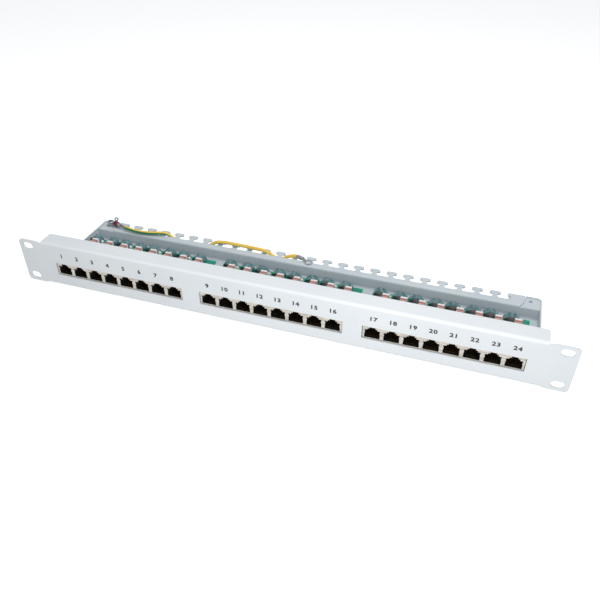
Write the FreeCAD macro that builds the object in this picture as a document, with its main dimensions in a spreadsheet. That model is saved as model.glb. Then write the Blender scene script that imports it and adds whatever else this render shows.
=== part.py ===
import FreeCAD, Part
import math
import os

import Sketcher

# A 24-port shielded patch panel, one rack unit high, with an open wiring tray behind it.
# Every sub-part is drawn from the middle of the panel's bottom front edge (X to the right,
# Y to the rear, Z up) and then placed in the row's frame, whose origin is the centre of the
# four rack slots on the rear face of the panel sheet.

DIMENSIONS = {
    # front panel
    "panel_width": 482.6,
    "panel_height": 43.7,
    "panel_sheet": 1.5,
    "panel_corner_radius": 3.5,
    "fold_half_width": 219.0,
    "fold_radius": 2.5,
    "relief_length": 4.5,
    "relief_rise": 1.0,
    "top_flange_depth": 16.5,
    "bottom_flange_depth": 24.0,
    "rack_pitch_x": 465.1,
    "rack_pitch_z": 31.75,
    "rack_slot_length": 10.0,
    "rack_slot_width": 6.5,
    "cutout_width": 127.0,
    "cutout_bottom": 11.7,
    "cutout_height": 13.0,
    # rear tray
    "tray_half_width": 217.9,
    "tray_sheet": 1.2,
    "tray_front": 3.0,
    "tray_wall": 82.5,
    "tray_rear": 98.9,
    "tray_top": 13.3,
    "bend_radius": 2.0,
    "tray_corner_radius": 4.0,
    "ledge_half_width": 203.8,
    "return_reach": 13.5,
    "corner_tab_inset": 0.6,
    "tab_pitch": 15.5,
    "tab_head_width": 9.7,
    "tab_head_depth": 4.4,
    "tab_neck_width": 4.4,
    "gap_bottom": 89.5,
    "corner_tab_top": 12.1,
    "corner_tab_front": 84.6,
    "corner_hole_x": 208.7,
    "corner_hole_y": 93.3,
    "cover_thread_radius": 1.65,
    "rivet_radius": 1.6,
    "rivet_pitch": 78.0,
    "rivet_y": 14.0,
    # circuit boards
    "gang_pitch": 143.26,
    "port_pitch": 15.73,
    "board_left": 68.0,
    "board_right": 65.5,
    "board_front": 3.0,
    "board_rear": 65.6,
    "board_bottom": 10.4,
    "board_sheet": 1.6,
    "fixing_x": 61.5,
    "fixing_y": 20.6,
    "pillar_y": 59.5,
    "fixing_hole_radius": 1.6,
    # jacks
    "shield_width": 126.0,
    "shield_front": 1.0,
    "shield_rear": 16.8,
    "shield_top": 24.4,
    "shield_sheet": 0.3,
    "mouth_width": 12.8,
    "mouth_bottom": 13.0,
    "mouth_height": 7.9,
    "latch_wide": 8.0,
    "latch_narrow": 5.0,
    "latch_step": 1.3,
    "cavity_clearance": 0.3,
    "cavity_depth": 13.0,
    "finger_bottom": 17.2,
    "finger_height": 2.2,
    "finger_depth": 5.5,
    "bulge_bottom": 18.2,
    "bulge_height": 1.2,
    "bulge_reach": 0.5,
    "bulge_front": 3.6,
    "bulge_depth": 1.3,
    "wire_pitch": 1.02,
    "wire_width": 0.45,
    "wire_sheet": 0.35,
    # insulation-displacement blocks
    "tower_width": 6.0,
    "tower_offset": 0.4,
    "tower_front": 24.4,
    "tower_rear": 52.0,
    "tower_top": 22.4,
    "tower_base": 1.2,
    "splitter_offset": -5.3,
    "splitter_y": 57.6,
    "splitter_reach": 1.8,
    "splitter_height": 5.2,
    "tooth_front": 0.9,
    "tooth_pitch": 3.2,
    "slot_width": 0.8,
    "slot_depth": 5.5,
    "blade_sheet": 0.4,
    # shield saddles
    "saddle_radius": 6.5,
    "saddle_sheet": 0.6,
    "saddle_rise": 0.3,
    "odd_saddle_offset": -6.0,
    "even_saddle_offset": -4.6,
    "saddle_front": 57.6,
    "saddle_depth": 6.2,
    "saddle_notch": 2.2,
    # earth lead
    "lead_diameter": 3.4,
    "sleeve_radius": 2.6,
    "barrel_radius": 2.0,
    "strand_radius": 1.35,
    "screw_clearance_radius": 2.15,
    "free_eye_radius": 2.65,
}

GANGS = 3
PORTS_PER_GANG = 8
WIRES_PER_PORT = 8
TOOTH_COUNT = 8
RIVET_COUNT = 6
GAP_COUNT = 25
SPRING_PIVOT = (4.0, 13.6)

doc = FreeCAD.newDocument("patch_panel")
sheet = doc.addObject("Spreadsheet::Sheet", "Dims")
for row_number, (alias, value) in enumerate(DIMENSIONS.items(), start=1):
    sheet.set(f"A{row_number}", str(value))
    sheet.setAlias(f"A{row_number}", alias)
doc.recompute()

written = []


def vec(x, y, z=0.0):
    """A vector, in mm."""
    return FreeCAD.Vector(x, y, z)


def size(alias):
    """The value of a driving dimension."""
    return float(sheet.get(alias))


def number(expression):
    """The value of an expression on the driving dimensions."""
    return float(sheet.evalExpression(expression))


def place(item, x="0", y="0", z="0", yaw=0.0):
    """Move an item from the drawing frame to the row's frame."""
    item.Placement = FreeCAD.Placement(vec(0, 0), FreeCAD.Rotation(vec(0, 0, 1), yaw))
    item.setExpression("Placement.Base.x", x)
    item.setExpression("Placement.Base.y", f"{y} - Dims.panel_sheet")
    item.setExpression("Placement.Base.z", f"{z} - Dims.panel_height / 2")


def new_body(label, x="0", y="0", z="0", yaw=0.0):
    """A placed PartDesign body, listed for writing."""
    body = doc.addObject("PartDesign::Body", label)
    body.Label = label
    place(body, x, y, z, yaw)
    written.append(body)
    return body


def origin_feature(body, role):
    """One of the body's own origin planes or axes."""
    return [item for item in body.Origin.OriginFeatures if item.Role == role][0]


def new_sketch(body, plane, offset="0"):
    """A sketch on an origin plane, moved along the plane's normal."""
    sketch = body.newObject("Sketcher::SketchObject", "Sketch")
    sketch.AttachmentSupport = [(origin_feature(body, plane), "")]
    sketch.MapMode = "FlatFace"
    sketch.setExpression("AttachmentOffset.Base.z", offset)
    return sketch


def bind(sketch, kind, refs, expression):
    """A dimensional constraint that follows an expression."""
    value = number(expression)
    if abs(value) < 1e-9:
        axis = -2 if kind == "DistanceX" else -1
        sketch.addConstraint(Sketcher.Constraint("PointOnObject", refs[2], refs[3], axis))
        return
    index = sketch.addConstraint(Sketcher.Constraint(kind, *refs, value))
    sketch.setExpression(f"Constraints[{index}]", expression)


def rectangle(sketch, left, bottom, width, height):
    """A rectangle whose place and size are expressions."""
    x, y = number(left), number(bottom)
    w, t = number(width), number(height)
    corners = [vec(x, y), vec(x + w, y), vec(x + w, y + t), vec(x, y + t)]
    first = sketch.GeometryCount
    for i in range(4):
        sketch.addGeometry(Part.LineSegment(corners[i], corners[(i + 1) % 4]))
    for i in range(4):
        pair = (first + i, 2, first + (i + 1) % 4, 1)
        sketch.addConstraint(Sketcher.Constraint("Coincident", *pair))
        kind = "Horizontal" if i % 2 == 0 else "Vertical"
        sketch.addConstraint(Sketcher.Constraint(kind, first + i))
    bind(sketch, "DistanceX", (-1, 1, first, 1), left)
    bind(sketch, "DistanceY", (-1, 1, first, 1), bottom)
    bind(sketch, "DistanceX", (first, 1, first, 2), width)
    bind(sketch, "DistanceY", (first + 1, 1, first + 1, 2), height)


def circle(sketch, x, y, radius):
    """A circle whose place and radius are expressions."""
    centre = vec(number(x), number(y))
    index = sketch.addGeometry(Part.Circle(centre, vec(0, 0, 1), number(radius)))
    bind(sketch, "DistanceX", (-1, 1, index, 3), x)
    bind(sketch, "DistanceY", (-1, 1, index, 3), y)
    ring = sketch.addConstraint(Sketcher.Constraint("Radius", index, number(radius)))
    sketch.setExpression(f"Constraints[{ring}]", radius)


def outline(sketch, points):
    """A closed outline. A point is (x, y), or (x, y, via x, via y) at the end of an arc."""
    for i, point in enumerate(points):
        start = vec(*points[i - 1][:2])
        end = vec(*point[:2])
        if len(point) == 4:
            edge = Part.Arc(start, vec(*point[2:]), end)
        else:
            edge = Part.LineSegment(start, end)
        index = sketch.addGeometry(edge)
        sketch.addConstraint(Sketcher.Constraint("Block", index))


def mirrored(points, side):
    """Outline points with their X values, the first of each pair, multiplied by side."""
    return [tuple(v * side if i % 2 == 0 else v for i, v in enumerate(p)) for p in points]


def corner_arc(x, y, radius, start_side, end_side):
    """The two ends of a rounded corner at (x, y), as unit steps back along each side."""
    (ax, ay), (bx, by) = start_side, end_side
    bulge = radius * (1 - math.sqrt(0.5))
    start = (x + ax * radius, y + ay * radius)
    end = (x + bx * radius, y + by * radius)
    return [start, (*end, x + (ax + bx) * bulge, y + (ay + by) * bulge)]


def pad(body, sketch, length, side="One side", flip=False):
    """Add a sketch's area to the body."""
    feature = body.newObject("PartDesign::Pad", "Pad")
    feature.Profile = sketch
    feature.setExpression("Length", length)
    feature.SideType = side
    feature.Reversed = flip
    doc.recompute()
    return feature


def pocket(body, sketch, length, side="One side", flip=False):
    """Take a sketch's area out of the body, and check that something went."""
    before = body.Shape.Volume
    feature = body.newObject("PartDesign::Pocket", "Pocket")
    feature.Profile = sketch
    feature.setExpression("Length", length)
    feature.SideType = side
    feature.Reversed = flip
    doc.recompute()
    if body.Shape.Volume >= before:
        raise ValueError(f"{body.Label}: a pocket cuts nothing")
    return feature


def repeat(body, features, count, pitch, axis="X_Axis", back=False):
    """Repeat features along an axis."""
    pattern = body.newObject("PartDesign::LinearPattern", "Pattern")
    pattern.Originals = features
    pattern.Direction = (origin_feature(body, axis), [""])
    pattern.Reversed = back
    pattern.Occurrences = count
    pattern.setExpression("Length", f"({count} - 1) * {pitch}")
    body.Tip = pattern
    doc.recompute()
    return pattern


def fillet(body, radius, chosen):
    """Round the edges of the body's tip that chosen(edge) accepts."""
    base = body.Tip
    names = [f"Edge{i}" for i, edge in enumerate(base.Shape.Edges, start=1) if chosen(edge)]
    feature = body.newObject("PartDesign::Fillet", "Fillet")
    feature.Base = (base, names)
    feature.setExpression("Radius", radius)
    doc.recompute()
    return feature


def gang_x(gang):
    """The middle of a gang of eight ports."""
    return f"({gang} - 1) * Dims.gang_pitch"


FIRST_PORT = f"(1 - {PORTS_PER_GANG}) / 2 * Dims.port_pitch"
BOARD_TOP = "(Dims.board_bottom + Dims.board_sheet)"


# ---------------------------------------------------------------- front panel

def fold_profile():
    """The folded middle of the panel, seen from its end: face, top and bottom flange."""
    t, r, top = size("panel_sheet"), size("fold_radius"), size("panel_height")
    inner = r - t
    upper, lower = size("top_flange_depth"), size("bottom_flange_depth")
    points = [(upper, top - t), (upper, top)]
    points += corner_arc(0, top, r, (1, 0), (0, -1))
    points += corner_arc(0, 0, r, (0, 1), (1, 0))
    points += [(lower, 0), (lower, t)]
    points += corner_arc(t, t, inner, (1, 0), (0, 1))
    points += corner_arc(t, top - t, inner, (0, -1), (1, 0))
    return points


def ear_outline(side):
    """A rack ear that blends into the folds with a shallow S-shaped relief."""
    r, top = size("fold_radius"), size("panel_height")
    fold, relief = size("fold_half_width"), size("relief_length")
    rise = size("relief_rise")
    end, corner = size("panel_width") / 2, size("panel_corner_radius")
    inside = fold - r
    quarter_run = relief / 4
    bulge = rise / 8
    middle = fold + relief / 2
    points = [(inside, top - r), (inside, r), (fold, r), (fold, rise)]
    points.append((middle, rise / 2, fold + quarter_run, rise - bulge))
    points.append((fold + relief, 0, fold + relief - quarter_run, bulge))
    points += corner_arc(end, 0, corner, (-1, 0), (0, 1))
    points += corner_arc(end, top, corner, (0, -1), (-1, 0))
    points.append((fold + relief, top))
    points.append((middle, top - rise / 2, fold + relief - quarter_run, top - bulge))
    points.append((fold, top - rise, fold + quarter_run, top - rise + bulge))
    points.append((fold, top - r))
    return mirrored(points, side)


def rack_slot(x, z):
    """An oval slot for a rack screw."""
    r = size("rack_slot_width") / 2
    run = size("rack_slot_length") / 2 - r
    return [
        (x + run, z - r),
        (x + run, z + r, x + run + r, z),
        (x - run, z + r),
        (x - run, z - r, x - run - r, z),
    ]


def make_front_panel():
    body = new_body("front_panel")
    folded = new_sketch(body, "YZ_Plane")
    outline(folded, fold_profile())
    pad(body, folded, "2 * Dims.fold_half_width", "Symmetric")
    for side in (-1, 1):
        ear = new_sketch(body, "XZ_Plane")
        outline(ear, ear_outline(side))
        pad(body, ear, "Dims.panel_sheet", flip=True)
    slots = new_sketch(body, "XZ_Plane")
    middle = size("panel_height") / 2
    for x in (-0.5, 0.5):
        for z in (-0.5, 0.5):
            outline(slots, rack_slot(x * size("rack_pitch_x"), middle + z * size("rack_pitch_z")))
    pocket(body, slots, "4 * Dims.panel_sheet", "Symmetric")
    cutouts = new_sketch(body, "XZ_Plane")
    for gang in range(GANGS):
        left = f"{gang_x(gang)} - Dims.cutout_width / 2"
        rectangle(cutouts, left, "Dims.cutout_bottom", "Dims.cutout_width", "Dims.cutout_height")
    pocket(body, cutouts, "4 * Dims.panel_sheet", "Symmetric")
    holes = new_sketch(body, "XY_Plane")
    rivet_holes(holes)
    pocket(body, holes, "2 * Dims.panel_sheet", flip=True)
    fold, rear = size("fold_half_width"), size("top_flange_depth")
    floor = size("bottom_flange_depth")

    def flange_corner(edge):
        ends = [vertex.Point for vertex in edge.Vertexes]
        if len(ends) < 2 or abs(ends[0].x - ends[1].x) > 0.01:
            return False
        on_end = abs(abs(ends[0].x) - fold) < 0.01 and abs(ends[0].y - ends[1].y) < 0.01
        return on_end and min(abs(ends[0].y - rear), abs(ends[0].y - floor)) < 0.01

    fillet(body, "Dims.fold_radius", flange_corner)


def rivet_holes(sketch):
    """The row of rivet holes that joins the tray to the panel's bottom flange."""
    for i in range(RIVET_COUNT):
        x = f"({i} - {RIVET_COUNT - 1} / 2) * Dims.rivet_pitch"
        circle(sketch, x, "Dims.rivet_y", "Dims.rivet_radius")


# ---------------------------------------------------------------- rear tray

def wall_profile(bottom, top, rear):
    """A wall that rises from bottom and bends rearwards into a shelf at top."""
    t, r, wall = size("tray_sheet"), size("bend_radius"), size("tray_wall")
    back = wall + t
    points = [(wall, bottom)]
    points += corner_arc(wall, top, r, (0, -1), (1, 0))
    points += [(rear, top), (rear, top - t)]
    points += corner_arc(back, top - t, r - t, (1, 0), (0, -1))
    points.append((back, bottom))
    return points


def floor_profile(bottom, shoulder):
    """The floor and the foot of the rear wall."""
    t, r, wall = size("tray_sheet"), size("bend_radius"), size("tray_wall")
    back, front = wall + t, size("tray_front")
    points = [(front, bottom + t), (front, bottom)]
    points += corner_arc(back, bottom, r, (-1, 0), (0, 1))
    points += [(back, shoulder), (wall, shoulder)]
    points += corner_arc(wall, bottom + t, r - t, (0, 1), (-1, 0))
    return points


def side_wall(side):
    """A side wall with a rounded rear corner and a short return, seen from above."""
    t, r = size("tray_sheet"), size("tray_corner_radius")
    out, rear, front = size("tray_half_width"), size("tray_rear"), size("tray_front")
    reach = out - size("return_reach")
    points = [(out, front)]
    points += corner_arc(out, rear, r, (0, -1), (-1, 0))
    points += [(reach, rear), (reach, rear - t)]
    points += corner_arc(out - t, rear - t, r - t, (-1, 0), (0, -1))
    points.append((out - t, front))
    return mirrored(points, side)


def tab_gap(x):
    """The gap between two T-shaped tabs: a narrow mouth, a wide root and rounded ends."""
    pitch, rear = size("tab_pitch"), size("tray_rear")
    mouth = (pitch - size("tab_head_width")) / 2
    root = (pitch - size("tab_neck_width")) / 2
    head = rear - size("tab_head_depth")
    bottom, r = size("gap_bottom"), 2.0
    beyond = rear + 2.0
    points = [(x - mouth - r, beyond), (x - mouth - r, rear)]
    points.append((x - mouth, rear - r, x - mouth - r * 0.2929, rear - r * 0.2929))
    points.append((x - mouth - r, head, x - mouth - r * 0.2929, head + r * 0.2))
    points.append((x - root, head))
    points += corner_arc(x - root, bottom, r, (0, 1), (1, 0))
    points += corner_arc(x + root, bottom, r, (-1, 0), (0, 1))
    points.append((x + root, head))
    points.append((x + mouth + r, head))
    points.append((x + mouth, rear - r, x + mouth + r * 0.2929, head + r * 0.2))
    points.append((x + mouth + r, rear, x + mouth + r * 0.2929, rear - r * 0.2929))
    points.append((x + mouth + r, beyond))
    return points


def ledge_end(side):
    """What is cut off the ledge beside a corner tab: the ledge ends in a hollow curve."""
    rear, half = size("tray_rear"), size("ledge_half_width")
    front = size("tray_wall")
    far = half + 12.0
    points = [
        (half, rear + 1.0),
        (half, rear - 2.0),
        (half - 5.0, front - 1.0, half - 1.2, front + 6.0),
        (far, front - 1.0),
        (far, rear + 1.0),
    ]
    return mirrored(points, side)


def make_rear_tray():
    body = new_body("rear_tray")
    base = size("panel_sheet")
    shoulder = size("corner_tab_top") - size("bend_radius") - 1.0
    floor = new_sketch(body, "YZ_Plane")
    outline(floor, floor_profile(base, shoulder))
    pad(body, floor, "2 * Dims.tray_half_width", "Symmetric")
    ledge = new_sketch(body, "YZ_Plane")
    outline(ledge, wall_profile(shoulder, size("tray_top"), size("tray_rear")))
    pad(body, ledge, "2 * (Dims.ledge_half_width + 1)", "Symmetric")
    shelf_height = "(Dims.tray_top - Dims.tray_sheet - 0.5)"
    ends = new_sketch(body, "XY_Plane", shelf_height)
    for side in (-1, 1):
        outline(ends, ledge_end(side))
    pocket(body, ends, "Dims.tray_sheet + 1", flip=True)
    gap = new_sketch(body, "XY_Plane", shelf_height)
    outline(gap, tab_gap(-(GAP_COUNT - 1) / 2 * size("tab_pitch")))
    first_gap = pocket(body, gap, "Dims.tray_sheet + 1", flip=True)
    repeat(body, [first_gap], GAP_COUNT, "Dims.tab_pitch")
    walls = new_sketch(body, "XY_Plane", "Dims.panel_sheet")
    for side in (-1, 1):
        outline(walls, side_wall(side))
    pad(body, walls, "Dims.tray_top - Dims.panel_sheet")
    tabs = new_sketch(body, "XY_Plane", "Dims.corner_tab_top - Dims.tray_sheet")
    inset = "Dims.corner_tab_inset"
    tab_width = f"Dims.tray_half_width - Dims.ledge_half_width - 2 * {inset}"
    tab_depth = f"Dims.tray_rear - Dims.corner_tab_front - {inset}"
    right_tab = f"Dims.ledge_half_width + {inset}"
    for left in (right_tab, f"-Dims.tray_half_width + {inset}"):
        rectangle(tabs, left, "Dims.corner_tab_front", tab_width, tab_depth)
    pad(body, tabs, "Dims.tray_sheet")
    screw_holes = new_sketch(body, "XY_Plane", "Dims.corner_tab_top + 1")
    for sign in ("", "-"):
        x = f"{sign}Dims.corner_hole_x"
        circle(screw_holes, x, "Dims.corner_hole_y", "Dims.cover_thread_radius")
    pocket(body, screw_holes, "Dims.tray_sheet + 2")
    holes = new_sketch(body, "XY_Plane")
    rivet_holes(holes)
    pocket(body, holes, "Dims.panel_sheet + 2 * Dims.tray_sheet", flip=True)


# ---------------------------------------------------------------- boards and jacks

def make_board(gang):
    body = new_body(f"circuit_board_{gang + 1}", gang_x(gang))
    plate = new_sketch(body, "XY_Plane", "Dims.board_bottom")
    depth = "Dims.board_rear - Dims.board_front"
    width = "Dims.board_left + Dims.board_right"
    rectangle(plate, "-Dims.board_left", "Dims.board_front", width, depth)
    pad(body, plate, "Dims.board_sheet")
    holes = new_sketch(body, "XY_Plane", f"{BOARD_TOP} + 1")
    for sign in ("", "-"):
        circle(holes, f"{sign}Dims.fixing_x", "Dims.fixing_y", "Dims.fixing_hole_radius")
    pocket(body, holes, "Dims.board_sheet + 2")


def mouth_outline(x, slack):
    """A modular socket's mouth with its stepped latch notch at the top."""
    half = size("mouth_width") / 2 + slack
    wide = size("latch_wide") / 2 + slack
    narrow = size("latch_narrow") / 2 + slack
    bottom = size("mouth_bottom") - slack
    top = size("mouth_bottom") + size("mouth_height") + slack
    step = size("latch_step")
    return [
        (x - half, bottom),
        (x + half, bottom),
        (x + half, top),
        (x + wide, top),
        (x + wide, top + step),
        (x + narrow, top + step),
        (x + narrow, top + 2 * step),
        (x - narrow, top + 2 * step),
        (x - narrow, top + step),
        (x - wide, top + step),
        (x - wide, top),
        (x - half, top),
    ]


def make_jack_shield(gang):
    """A drawn shield over a gang, with two bulged grounding fingers inside each mouth."""
    body = new_body(f"jack_shield_{gang + 1}", gang_x(gang))
    height = f"(Dims.shield_top - {BOARD_TOP})"
    block = new_sketch(body, "XZ_Plane", "-Dims.shield_front")
    rectangle(block, "-Dims.shield_width / 2", BOARD_TOP, "Dims.shield_width", height)
    pad(body, block, "Dims.shield_rear - Dims.shield_front", flip=True)
    room = new_sketch(body, "XZ_Plane", "-Dims.shield_front - Dims.shield_sheet")
    left = "-Dims.shield_width / 2 + Dims.shield_sheet"
    width = "Dims.shield_width - 2 * Dims.shield_sheet"
    rectangle(room, left, f"{BOARD_TOP} - 1", width, f"{height} - Dims.shield_sheet + 1")
    pocket(body, room, "Dims.shield_rear")
    mouth = new_sketch(body, "XZ_Plane")
    outline(mouth, mouth_outline(number(FIRST_PORT), 0.0))
    first_mouth = pocket(body, mouth, "Dims.shield_front + 2 * Dims.shield_sheet")
    repeat(body, [first_mouth], PORTS_PER_GANG, "Dims.port_pitch")
    fingers = new_sketch(body, "XZ_Plane", "-Dims.shield_front")
    for left in ("-Dims.mouth_width / 2 - 0.01", "Dims.mouth_width / 2 - Dims.shield_sheet + 0.01"):
        rectangle(fingers, f"{FIRST_PORT} + {left}", "Dims.finger_bottom", "Dims.shield_sheet",
                  "Dims.finger_height")
    first_fingers = pad(body, fingers, "Dims.finger_depth", flip=True)
    repeat(body, [first_fingers], PORTS_PER_GANG, "Dims.port_pitch")
    bulges = new_sketch(body, "XZ_Plane", "-Dims.bulge_front")
    inner = "Dims.mouth_width / 2 - Dims.shield_sheet + 0.02"
    for left in (f"-({inner})", f"{inner} - Dims.bulge_reach"):
        rectangle(bulges, f"{FIRST_PORT} + {left}", "Dims.bulge_bottom", "Dims.bulge_reach",
                  "Dims.bulge_height")
    first_bulges = pad(body, bulges, "Dims.bulge_depth", flip=True)
    repeat(body, [first_bulges], PORTS_PER_GANG, "Dims.port_pitch")


def make_jack_housing(gang):
    body = new_body(f"jack_housing_{gang + 1}", gang_x(gang))
    front = "(Dims.shield_front + Dims.shield_sheet)"
    block = new_sketch(body, "XZ_Plane", f"-{front}")
    left = "-Dims.shield_width / 2 + Dims.shield_sheet"
    width = "Dims.shield_width - 2 * Dims.shield_sheet"
    height = f"Dims.shield_top - Dims.shield_sheet - {BOARD_TOP}"
    rectangle(block, left, BOARD_TOP, width, height)
    pad(body, block, f"Dims.shield_rear - {front}", flip=True)
    cavity = new_sketch(body, "XZ_Plane", f"-{front}")
    outline(cavity, mouth_outline(number(FIRST_PORT), size("cavity_clearance")))
    first_cavity = pocket(body, cavity, "Dims.cavity_depth")
    repeat(body, [first_cavity], PORTS_PER_GANG, "Dims.port_pitch")


def spring_profile():
    """One contact spring, seen from the side: a foot by the mouth, a ramp and a flat tip."""
    t = size("wire_sheet")
    y, z = SPRING_PIVOT
    foot = z - t / 2
    return [
        (y - 0.5, foot),
        (y + 0.5, foot),
        (y + 7.6, foot + 2.6),
        (y + 9.2, foot + 2.7),
        (y + 9.2, foot + 2.7 + t),
        (y + 7.5, foot + 2.6 + t),
        (y + 0.4, foot + t),
        (y - 0.5, foot + t),
    ]


def make_contact_springs(gang, port):
    number_on_panel = gang * PORTS_PER_GANG + port + 1
    x = f"{gang_x(gang)} + {FIRST_PORT} + {port} * Dims.port_pitch"
    body = new_body(f"contact_springs_{number_on_panel:02d}", x)
    first_x = f"(1 - {WIRES_PER_PORT}) / 2 * Dims.wire_pitch"
    wire = new_sketch(body, "YZ_Plane", first_x)
    outline(wire, spring_profile())
    first_wire = pad(body, wire, "Dims.wire_width", "Symmetric")
    repeat(body, [first_wire], WIRES_PER_PORT, "Dims.wire_pitch")


# ---------------------------------------------------------------- wiring blocks and saddles

def make_wiring_blocks(gang):
    """Four twin mouldings, each with two toothed towers, and a pointed post behind each."""
    body = new_body(f"wiring_blocks_{gang + 1}", gang_x(gang))
    base = new_sketch(body, "XY_Plane", BOARD_TOP)
    depth = "Dims.tower_rear - Dims.tower_front"
    left = f"{FIRST_PORT} + Dims.tower_offset - Dims.tower_width / 2"
    twin_width = "Dims.port_pitch + Dims.tower_width"
    rectangle(base, left, "Dims.tower_front", twin_width, depth)
    features = [pad(body, base, "Dims.tower_base")]
    towers = new_sketch(body, "XY_Plane", f"{BOARD_TOP} + Dims.tower_base / 2")
    for shift in ("0", "Dims.port_pitch"):
        rectangle(towers, f"{left} + {shift}", "Dims.tower_front", "Dims.tower_width", depth)
    height = f"Dims.tower_top - {BOARD_TOP} - Dims.tower_base / 2"
    features.append(pad(body, towers, height))
    middle = f"{FIRST_PORT} + Dims.port_pitch / 2"
    slots = new_sketch(body, "YZ_Plane", middle)
    for tooth in range(TOOTH_COUNT):
        front = f"Dims.tower_front + Dims.tooth_front + {tooth} * Dims.tooth_pitch"
        rectangle(slots, front, "Dims.tower_top - Dims.slot_depth", "Dims.slot_width",
                  "Dims.slot_depth + 1")
    features.append(pocket(body, slots, f"{twin_width} + 1", "Symmetric"))
    splitter = new_sketch(body, "XY_Plane", BOARD_TOP)
    x = number(middle) + size("splitter_offset")
    y, reach = size("splitter_y"), size("splitter_reach")
    outline(splitter, [(x - reach, y), (x, y - reach), (x + reach, y), (x, y + reach)])
    features.append(pad(body, splitter, "Dims.splitter_height"))
    repeat(body, features, PORTS_PER_GANG // 2, "2 * Dims.port_pitch")


def make_wiring_blades(gang):
    """The forked blades in the towers' slots."""
    body = new_body(f"wiring_blades_{gang + 1}", gang_x(gang))
    slack = "(Dims.slot_width - Dims.blade_sheet) / 2"
    blade = new_sketch(body, "XZ_Plane", f"-Dims.tower_front - Dims.tooth_front - {slack}")
    x = number(FIRST_PORT) + size("tower_offset")
    bottom = size("tower_top") - size("slot_depth")
    half, slit, rise = 2.2, 0.25, 4.6
    outline(blade, [
        (x - half, bottom),
        (x + half, bottom),
        (x + half, bottom + rise),
        (x + slit, bottom + rise - 0.8),
        (x + slit, bottom + 1.4),
        (x - slit, bottom + 1.4),
        (x - slit, bottom + rise - 0.8),
        (x - half, bottom + rise),
    ])
    first_blade = pad(body, blade, "Dims.blade_sheet", flip=True)
    grid = repeat(body, [first_blade], PORTS_PER_GANG, "Dims.port_pitch")
    grid.Direction2 = (origin_feature(body, "Y_Axis"), [""])
    grid.Occurrences2 = TOOTH_COUNT
    grid.setExpression("Length2", f"({TOOTH_COUNT} - 1) * Dims.tooth_pitch")
    doc.recompute()


def make_shield_saddles(gang):
    """Half-round bridges over the board's rear edge that bear on each cable's screen."""
    body = new_body(f"shield_saddles_{gang + 1}", gang_x(gang))
    arch = new_sketch(body, "XZ_Plane", "-Dims.saddle_front")
    notch = new_sketch(body, "XY_Plane", f"{BOARD_TOP} + Dims.saddle_radius / 2")
    z = number(BOARD_TOP)
    spring = z + size("saddle_rise")
    r, t = size("saddle_radius"), size("saddle_sheet")
    inner = r - t
    for offset in ("Dims.odd_saddle_offset", "Dims.port_pitch + Dims.even_saddle_offset"):
        middle = f"{FIRST_PORT} + {offset}"
        x = number(middle)
        outline(arch, [
            (x + r, z),
            (x + r, spring),
            (x - r, spring, x, spring + r),
            (x - r, z),
            (x - inner, z),
            (x - inner, spring),
            (x + inner, spring, x, spring + inner),
            (x + inner, z),
        ])
        notch_left = f"{middle} - Dims.saddle_notch / 2"
        rectangle(notch, notch_left, "Dims.saddle_front + 2.4", "Dims.saddle_notch",
                  "Dims.saddle_depth")
    arches = pad(body, arch, "Dims.saddle_depth", flip=True)
    notches = pocket(body, notch, "Dims.saddle_radius", flip=True)
    repeat(body, [arches, notches], PORTS_PER_GANG // 2, "2 * Dims.port_pitch")


# ---------------------------------------------------------------- fixings

def cylinder(name, radius, height, x="0", y="0", z="0"):
    """A Part cylinder with bound sizes, in the drawing frame."""
    item = doc.addObject("Part::Cylinder", name)
    item.setExpression("Radius", radius)
    item.setExpression("Height", height)
    item.setExpression("Placement.Base.x", x)
    item.setExpression("Placement.Base.y", y)
    item.setExpression("Placement.Base.z", z)
    return item


def fuse(name, items):
    """The union of touching primitives."""
    item = doc.addObject("Part::MultiFuse", name)
    item.Shapes = items
    return item


def cut(name, base, tool):
    """One item less another."""
    item = doc.addObject("Part::Cut", name)
    item.Base = base
    item.Tool = tool
    return item


def group(label, items, **where):
    """Identical fasteners as separate solids in one sub-part."""
    item = doc.addObject("Part::Compound", label)
    item.Label = label
    item.Links = items
    place(item, **where)
    written.append(item)
    return item


def recess(name, radius, depth, x, y, z):
    """The cross-shaped driver recess of a screw head."""
    bars = []
    slit = 0.6
    for i, (wide, long) in enumerate(((2 * radius, slit), (slit, 2 * radius))):
        bar = doc.addObject("Part::Box", f"{name}_bar{i}")
        bar.Length = wide
        bar.Width = long
        bar.setExpression("Height", depth)
        bar.setExpression("Placement.Base.x", f"{x} - {wide / 2}")
        bar.setExpression("Placement.Base.y", f"{y} - {long / 2}")
        bar.setExpression("Placement.Base.z", f"{z} - {depth}")
        bars.append(bar)
    return fuse(name, bars)


def make_rivets():
    rivets = []
    stack = "Dims.panel_sheet + Dims.tray_sheet"
    for i in range(RIVET_COUNT):
        x = f"({i} - {RIVET_COUNT - 1} / 2) * Dims.rivet_pitch"
        shank = cylinder(f"rivet_shank{i}", "Dims.rivet_radius", stack, x, "Dims.rivet_y")
        head = cylinder(f"rivet_head{i}", "3", "1", x, "Dims.rivet_y", stack)
        rivets.append(fuse(f"rivet{i}", [shank, head]))
    group("tray_rivets", rivets)


def fixing_points(y):
    """The two places, near each board's ends, where it is held or borne."""
    return [(f"{gang_x(gang)} {sign} Dims.fixing_x", y) for gang in range(GANGS) for sign in "-+"]


def make_pillar(name, x, y, foot):
    """A hexagonal pillar from the tray's floor to a board."""
    pillar = doc.addObject("Part::Prism", name)
    pillar.Polygon = 6
    pillar.Circumradius = 2.9
    pillar.setExpression("Height", f"Dims.board_bottom - {foot}")
    pillar.setExpression("Placement.Base.x", x)
    pillar.setExpression("Placement.Base.y", y)
    pillar.setExpression("Placement.Base.z", foot)
    return pillar


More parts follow.
